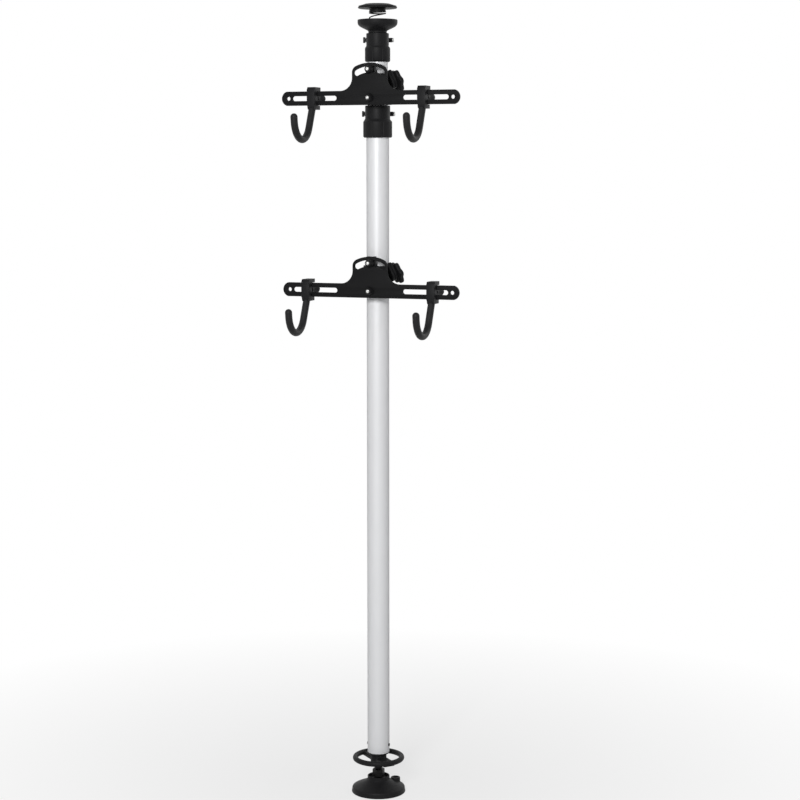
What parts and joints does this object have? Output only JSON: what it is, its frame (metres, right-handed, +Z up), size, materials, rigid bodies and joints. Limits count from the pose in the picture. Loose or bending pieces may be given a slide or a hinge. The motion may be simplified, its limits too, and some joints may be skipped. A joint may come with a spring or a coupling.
{
  "type": "bike storage tower",
  "caption": "Telescoping floor-to-ceiling pole wedged by a jack foot and a sprung ceiling pad, with sliding, tilting arms that carry rubber-coated bike hooks.",
  "frame": {"origin": "the middle of the foot's underside, on the floor", "axes": "+Z up along the pole, +X along the arms to the right as seen from the hooks' side, -Y the way the hooks reach"},
  "size_m": [0.3702, 0.2131, 1.5997],
  "materials": {
    "anodised_aluminium": "satin anodised",
    "black_metal": "matt black powder coat",
    "black_plastic": "moulded black, slightly rough",
    "black_rubber": "soft black rubber",
    "bright_steel": "bright zinc plate",
    "dark_steel": "black oxide",
    "natural_nylon": "grey nylon, smooth"
  },
  "bodies": {
    "pole": {"lower_tube": "anodised_aluminium", "tube_end_plug": "black_plastic", "plug_screw_right": "dark_steel", "plug_screw_left": "dark_steel", "thrust_washer": "bright_steel", "lower_collar": "black_plastic", "lower_collar_nut": "dark_steel"},
    "hand_wheel": {"hand_wheel": "black_plastic"},
    "jack_screw": {"jack_screw": "dark_steel", "jack_lock_nut": "dark_steel"},
    "foot_seat": {"foot_ball_seat": "natural_nylon"},
    "foot": {"foot_base": "black_plastic", "foot_rubber_pad": "black_rubber", "foot_retaining_ring": "black_plastic"},
    "lower_collar_screw": {"lower_collar_screw": "bright_steel"},
    "middle_section": {"middle_tube": "anodised_aluminium", "middle_tube_glide": "natural_nylon", "upper_collar": "black_plastic", "upper_collar_nut": "dark_steel"},
    "upper_collar_screw": {"upper_collar_screw": "bright_steel"},
    "upper_section": {"upper_tube": "anodised_aluminium", "upper_tube_glide": "natural_nylon", "ceiling_cup": "black_plastic", "ceiling_spring": "dark_steel"},
    "ceiling_pad": {"ceiling_pad": "black_plastic", "ceiling_pad_rubber": "black_rubber"},
    "lower_mount_liner": {"lower_clamp_liner": "natural_nylon"},
    "lower_mount": {"lower_clamp_body": "black_plastic", "lower_pivot_bush": "black_plastic", "lower_pivot_screw": "bright_steel", "lower_tilt_bush": "black_plastic"},
    "lower_clamp_knob": {"lower_clamp_knob": "black_plastic"},
    "lower_clamp_bolt": {"lower_clamp_bolt": "dark_steel"},
    "lower_tilt_screw": {"lower_tilt_screw": "bright_steel"},
    "lower_arm": {"lower_arm_plate": "black_metal"},
    "lower_left_hook": {"lower_left_hook_block": "black_plastic", "lower_left_hook": "black_rubber"},
    "lower_left_hook_nut": {"lower_left_hook_nut": "black_plastic"},
    "lower_right_hook": {"lower_right_hook_block": "black_plastic", "lower_right_hook": "black_rubber"},
    "lower_right_hook_nut": {"lower_right_hook_nut": "black_plastic"},
    "upper_mount_liner": {"upper_clamp_liner": "natural_nylon"},
    "upper_mount": {"upper_clamp_body": "black_plastic", "upper_pivot_bush": "black_plastic", "upper_pivot_screw": "bright_steel", "upper_tilt_bush": "black_plastic"},
    "upper_clamp_knob": {"upper_clamp_knob": "black_plastic"},
    "upper_clamp_bolt": {"upper_clamp_bolt": "dark_steel"},
    "upper_tilt_screw": {"upper_tilt_screw": "bright_steel"},
    "upper_arm": {"upper_arm_plate": "black_metal"},
    "upper_left_hook": {"upper_left_hook_block": "black_plastic", "upper_left_hook": "black_rubber"},
    "upper_left_hook_nut": {"upper_left_hook_nut": "black_plastic"},
    "upper_right_hook": {"upper_right_hook_block": "black_plastic", "upper_right_hook": "black_rubber"},
    "upper_right_hook_nut": {"upper_right_hook_nut": "black_plastic"}
  },
  "joints": [
    {"name": "hand_wheel_turn", "type": "hinge", "parent": "pole", "child": "hand_wheel", "pos_m": [0, 0, 0.069], "axis": [0, 0, 1], "range_deg": [-120, 3600]},
    {"name": "jack_extend", "type": "slide", "parent": "pole", "child": "jack_screw", "axis": [0, 0, -1], "range_m": [-0.00101, 0.03001]},
    {"name": "foot_tilt_side", "type": "hinge", "parent": "jack_screw", "child": "foot_seat", "pos_m": [0, 0, 0.018], "axis": [1, 0, 0], "range_deg": [-5, 5]},
    {"name": "foot_tilt_fore", "type": "hinge", "parent": "foot_seat", "child": "foot", "pos_m": [0, 0, 0.018], "axis": [0, 1, 0], "range_deg": [-5, 5]},
    {"name": "lower_collar_screw_turn", "type": "hinge", "parent": "pole", "child": "lower_collar_screw", "pos_m": [-0.00903, 0.02481, 1.3866], "axis": [0.9397, 0.342, 0], "range_deg": [0, 720]},
    {"name": "middle_tube_slide", "type": "slide", "parent": "pole", "child": "middle_section", "axis": [0, 0, 1], "range_m": [0, 0.8]},
    {"name": "upper_collar_screw_turn", "type": "hinge", "parent": "middle_section", "child": "upper_collar_screw", "pos_m": [-0.00814, 0.02236, 1.5314], "axis": [0.9397, 0.342, 0], "range_deg": [0, 720]},
    {"name": "upper_tube_slide", "type": "slide", "parent": "middle_section", "child": "upper_section", "axis": [0, 0, 1], "range_m": [0, 0.8]},
    {"name": "ceiling_pad_press", "type": "slide", "parent": "upper_section", "child": "ceiling_pad", "axis": [0, 0, 1], "range_m": [-0.0217, 0], "stiffness_N_per_m": 8000, "deforming": ["ceiling_spring"]},
    {"name": "lower_mount_height", "type": "slide", "parent": "pole", "child": "lower_mount_liner", "axis": [0, 0, 1], "range_m": [-0.8, 0.22]},
    {"name": "lower_mount_swivel", "type": "hinge", "parent": "lower_mount_liner", "child": "lower_mount", "pos_m": [0, 0, 1.0379], "axis": [0, 0, 1], "range_deg": [-180, 180]},
    {"name": "lower_clamp_knob_turn", "type": "hinge", "parent": "lower_mount", "child": "lower_clamp_knob", "pos_m": [0.0287, -0.0087, 1.0665], "axis": [0.6433, 0.685, 0.342], "range_deg": [0, 720]},
    {"name": "lower_clamp_bolt_draw", "type": "slide", "parent": "lower_mount", "child": "lower_clamp_bolt", "axis": [-0.6433, -0.685, -0.342], "range_m": [0, 0.00251]},
    {"name": "lower_tilt_screw_turn", "type": "hinge", "parent": "lower_mount", "child": "lower_tilt_screw", "pos_m": [0, -0.0415, 1.093], "axis": [0, -1, 0], "range_deg": [0, 720]},
    {"name": "lower_arm_tilt", "type": "hinge", "parent": "lower_mount", "child": "lower_arm", "pos_m": [0, -0.0448, 1.0379], "axis": [0, 1, 0], "range_deg": [-27, 27]},
    {"name": "lower_left_hook_slide", "type": "slide", "parent": "lower_arm", "child": "lower_left_hook", "axis": [1, 0, 0], "range_m": [-0.0246, 0.0546]},
    {"name": "lower_left_hook_nut_turn", "type": "hinge", "parent": "lower_left_hook", "child": "lower_left_hook_nut", "pos_m": [-0.1309, -0.0415, 1.0379], "axis": [0, 1, 0], "range_deg": [0, 720]},
    {"name": "lower_right_hook_slide", "type": "slide", "parent": "lower_arm", "child": "lower_right_hook", "axis": [1, 0, 0], "range_m": [-0.0557, 0.0235]},
    {"name": "lower_right_hook_nut_turn", "type": "hinge", "parent": "lower_right_hook", "child": "lower_right_hook_nut", "pos_m": [0.132, -0.0415, 1.0379], "axis": [0, 1, 0], "range_deg": [0, 720]},
    {"name": "upper_mount_height", "type": "slide", "parent": "middle_section", "child": "upper_mount_liner", "axis": [0, 0, 1], "range_m": [0, 0.02]},
    {"name": "upper_mount_swivel", "type": "hinge", "parent": "upper_mount_liner", "child": "upper_mount", "pos_m": [0, 0, 1.416], "axis": [0, 0, 1], "range_deg": [-180, 180]},
    {"name": "upper_clamp_knob_turn", "type": "hinge", "parent": "upper_mount", "child": "upper_clamp_knob", "pos_m": [0.0287, -0.0087, 1.4446], "axis": [0.6433, 0.685, 0.342], "range_deg": [0, 720]},
    {"name": "upper_clamp_bolt_draw", "type": "slide", "parent": "upper_mount", "child": "upper_clamp_bolt", "axis": [-0.6433, -0.685, -0.342], "range_m": [0, 0.00251]},
    {"name": "upper_tilt_screw_turn", "type": "hinge", "parent": "upper_mount", "child": "upper_tilt_screw", "pos_m": [0, -0.0415, 1.4711], "axis": [0, -1, 0], "range_deg": [0, 720]},
    {"name": "upper_arm_tilt", "type": "hinge", "parent": "upper_mount", "child": "upper_arm", "pos_m": [0, -0.0448, 1.416], "axis": [0, 1, 0], "range_deg": [-27, 27]},
    {"name": "upper_left_hook_slide", "type": "slide", "parent": "upper_arm", "child": "upper_left_hook", "axis": [1, 0, 0], "range_m": [-0.0388, 0.0404]},
    {"name": "upper_left_hook_nut_turn", "type": "hinge", "parent": "upper_left_hook", "child": "upper_left_hook_nut", "pos_m": [-0.1167, -0.0415, 1.416], "axis": [0, 1, 0], "range_deg": [0, 720]},
    {"name": "upper_right_hook_slide", "type": "slide", "parent": "upper_arm", "child": "upper_right_hook", "axis": [1, 0, 0], "range_m": [-0.0363, 0.0429]},
    {"name": "upper_right_hook_nut_turn", "type": "hinge", "parent": "upper_right_hook", "child": "upper_right_hook_nut", "pos_m": [0.1126, -0.0415, 1.416], "axis": [0, 1, 0], "range_deg": [0, 720]}
  ],
  "couplings": [
    {"joint": "jack_extend", "follows": "hand_wheel_turn", "m_per_rad": 0.00047746},
    {"joint": "lower_clamp_bolt_draw", "follows": "lower_clamp_knob_turn", "m_per_rad": 0.00019894},
    {"joint": "upper_clamp_bolt_draw", "follows": "upper_clamp_knob_turn", "m_per_rad": 0.00019894}
  ]
}
